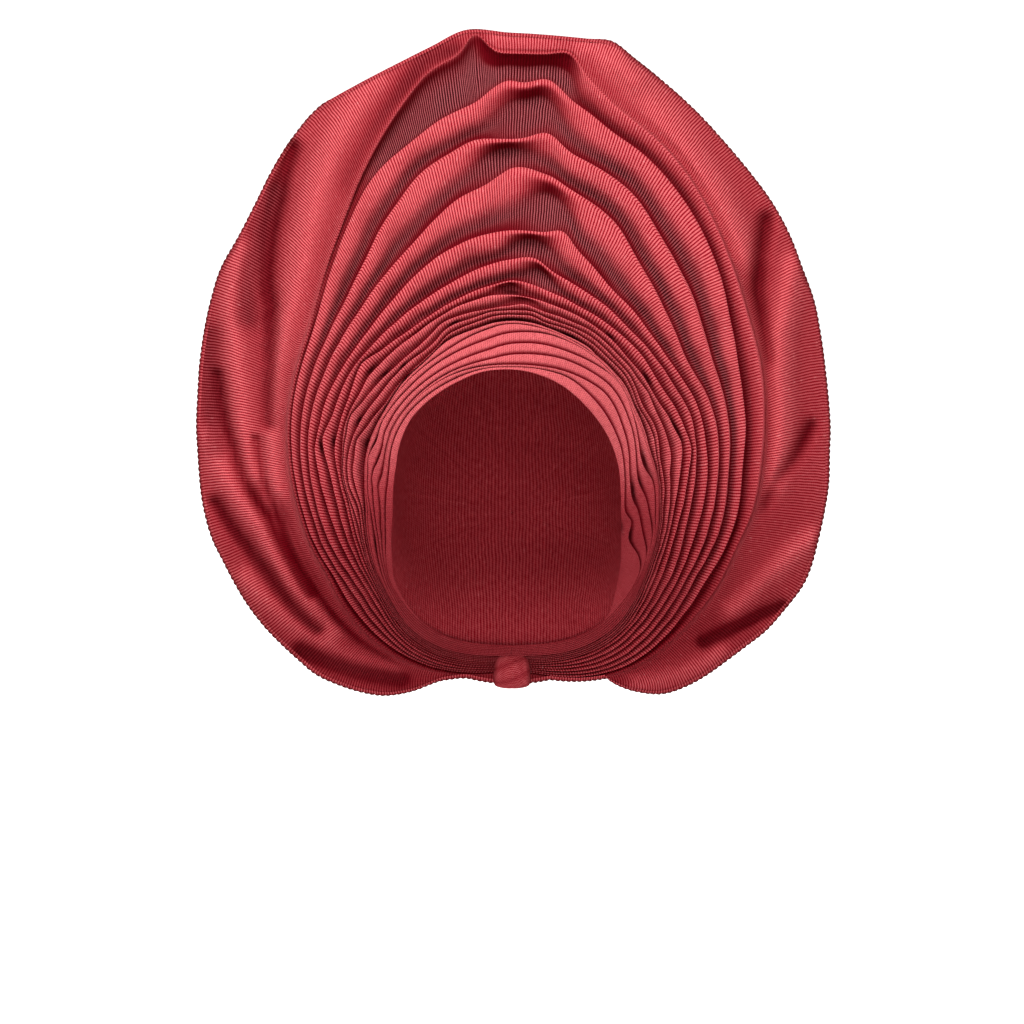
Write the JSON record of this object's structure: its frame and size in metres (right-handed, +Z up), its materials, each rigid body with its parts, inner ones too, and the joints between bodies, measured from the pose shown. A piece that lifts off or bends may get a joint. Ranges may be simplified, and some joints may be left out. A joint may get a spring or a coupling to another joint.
{
  "type": "tied gele head tie",
  "caption": "Pleated cloth head tie: a pressed band over the forehead, a tall fan of standing folds with a broad rim, an open crown for the head and a knot at the nape.",
  "frame": {"origin": "inside of the crown, where the head tie sits on the top of the head", "axes": "+Z up, -Y to the front, out of the face opening, +X towards the viewer's right"},
  "size_m": [0.4072, 0.183, 0.4344],
  "materials": {
    "fan_cloth": "ribbed open weave, coral red, slight sheen",
    "band_cloth": "pressed ribbed weave, lighter coral red, soft sheen",
    "crown_cloth": "ribbed weave, coral red, matte"
  },
  "bodies": {
    "root": {"forehead_pleat_1": "band_cloth", "forehead_pleat_2": "band_cloth", "forehead_pleat_3": "band_cloth", "forehead_pleat_4": "band_cloth", "forehead_pleat_5": "band_cloth", "forehead_pleat_6": "band_cloth", "forehead_pleat_7": "band_cloth", "pleat_fan": "fan_cloth", "crown_cap": "crown_cloth", "nape_knot": "crown_cloth"}
  },
  "joints": []
}
